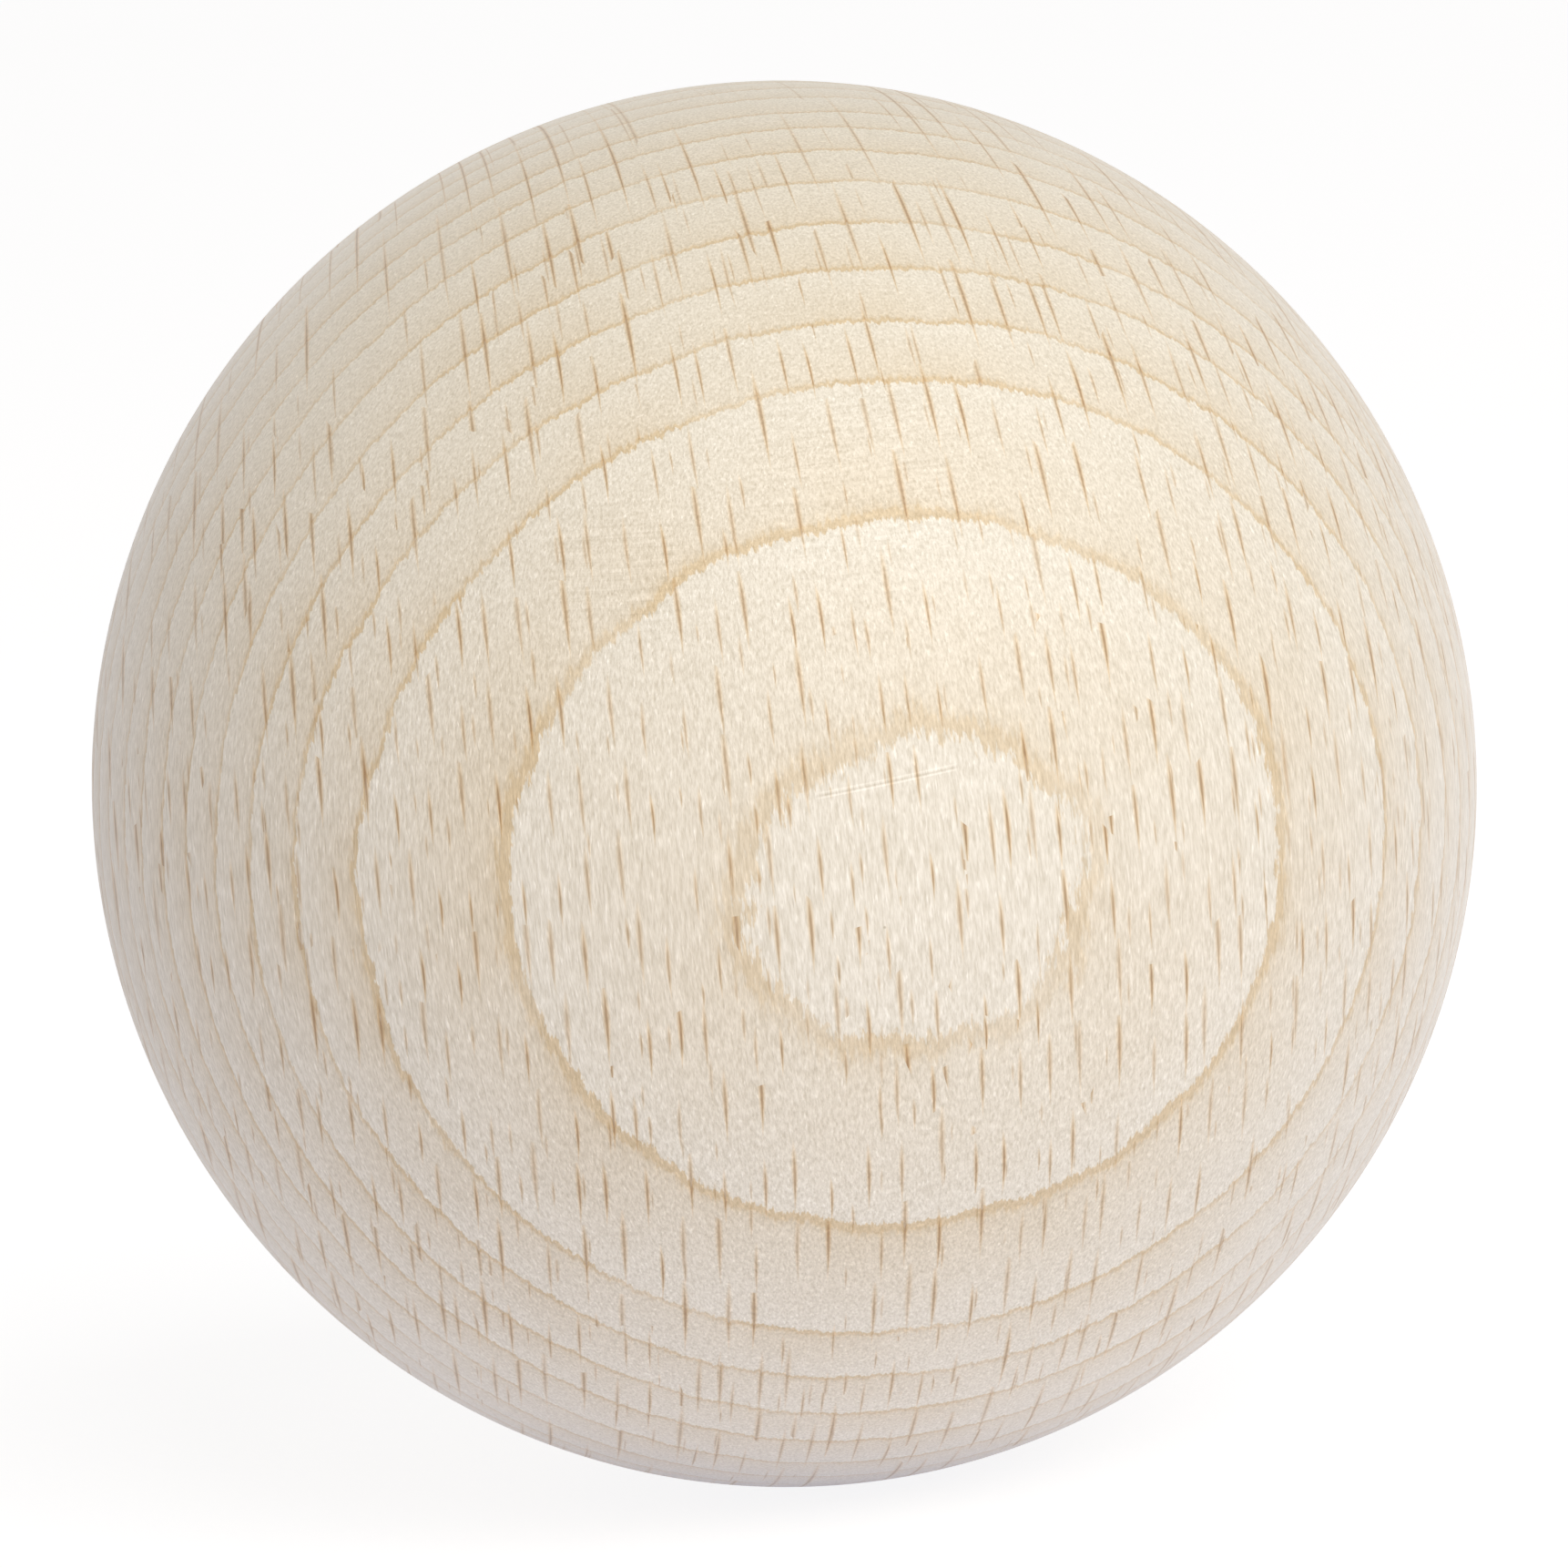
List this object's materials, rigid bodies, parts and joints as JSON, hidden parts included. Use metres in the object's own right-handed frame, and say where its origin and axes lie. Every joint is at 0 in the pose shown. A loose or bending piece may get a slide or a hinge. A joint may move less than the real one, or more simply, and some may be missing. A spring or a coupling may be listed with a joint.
{
  "type": "wooden ball",
  "caption": "Solid wooden ball, turned and sanded smooth, very slightly oval, with no hole, flat or fitting.",
  "frame": {"origin": "centre of the ball", "axes": "+Z along the grain, -Y outward along the radius of the tree, to the bark side, X along the growth rings"},
  "size_m": [0.0492, 0.0496, 0.05],
  "materials": {
    "beech": "untreated, finely sanded"
  },
  "bodies": {
    "root": {"ball": "beech"}
  },
  "joints": []
}
